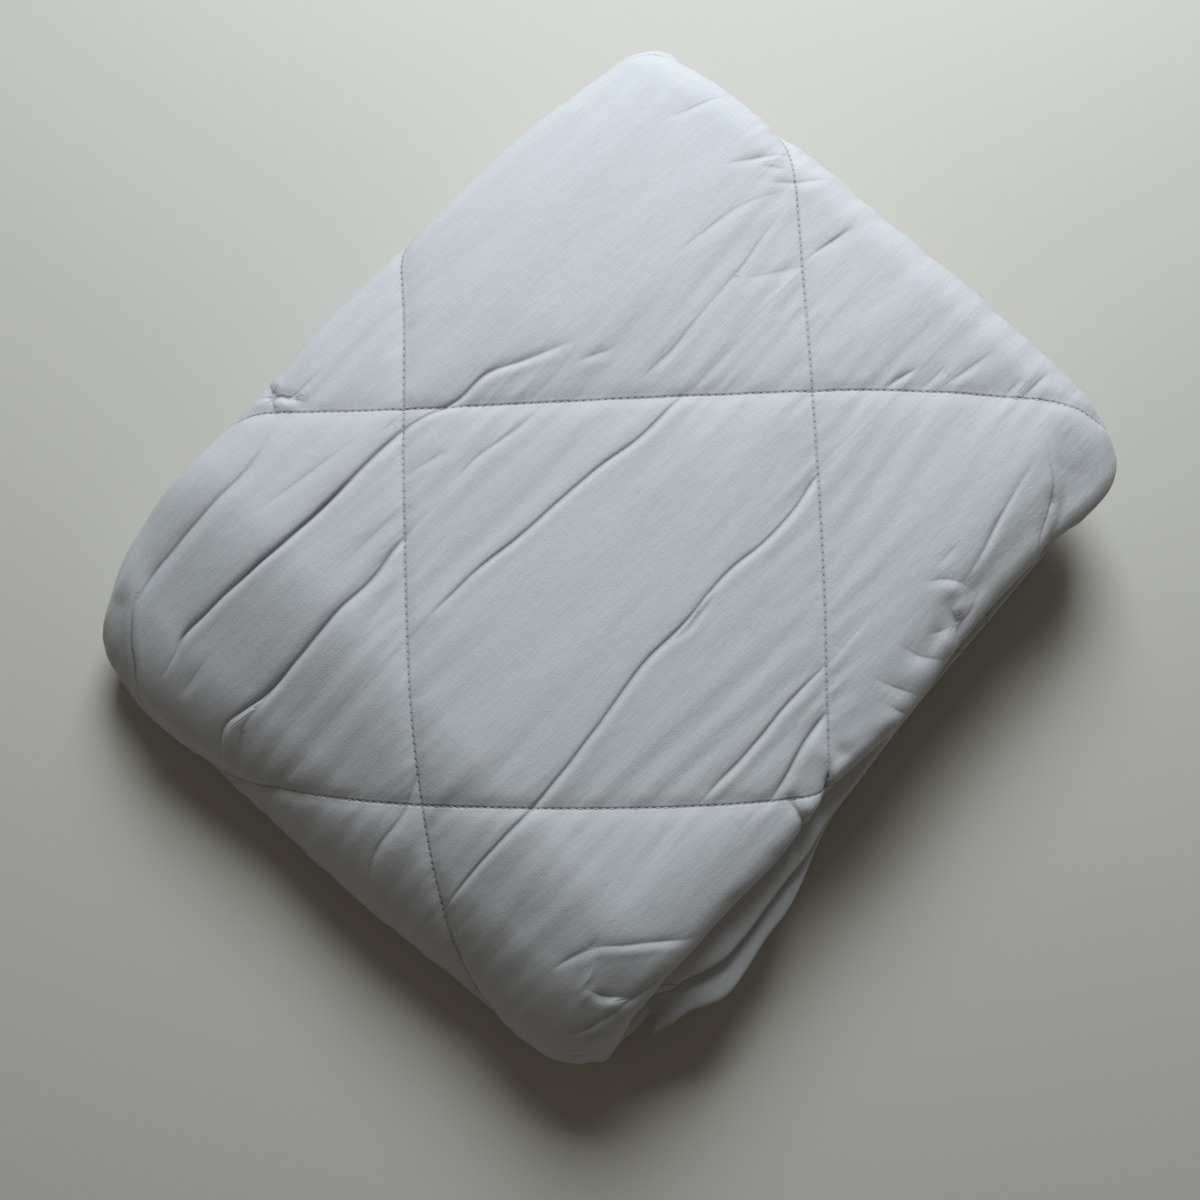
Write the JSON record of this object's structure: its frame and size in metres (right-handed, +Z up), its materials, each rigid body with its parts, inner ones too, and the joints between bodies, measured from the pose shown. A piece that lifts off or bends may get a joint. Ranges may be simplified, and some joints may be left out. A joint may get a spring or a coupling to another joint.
{
  "type": "folded comforter",
  "caption": "Diamond-quilted comforter folded lengthwise in thirds and rolled flat into a soft packet that lies on a floor, bed or shelf.",
  "frame": {"origin": "centre of the packet's footprint, on the surface it lies on", "axes": "+X along the packet's long side, from one wrapped end to the other; +Y along the axis of the roll, away from the side where the layers show; +Z up"},
  "size_m": [0.6756, 0.5722, 0.1356],
  "materials": {
    "cover_cloth": "matte light grey plain-woven cotton"
  },
  "bodies": {
    "root": {"comforter": "cover_cloth"}
  },
  "joints": []
}
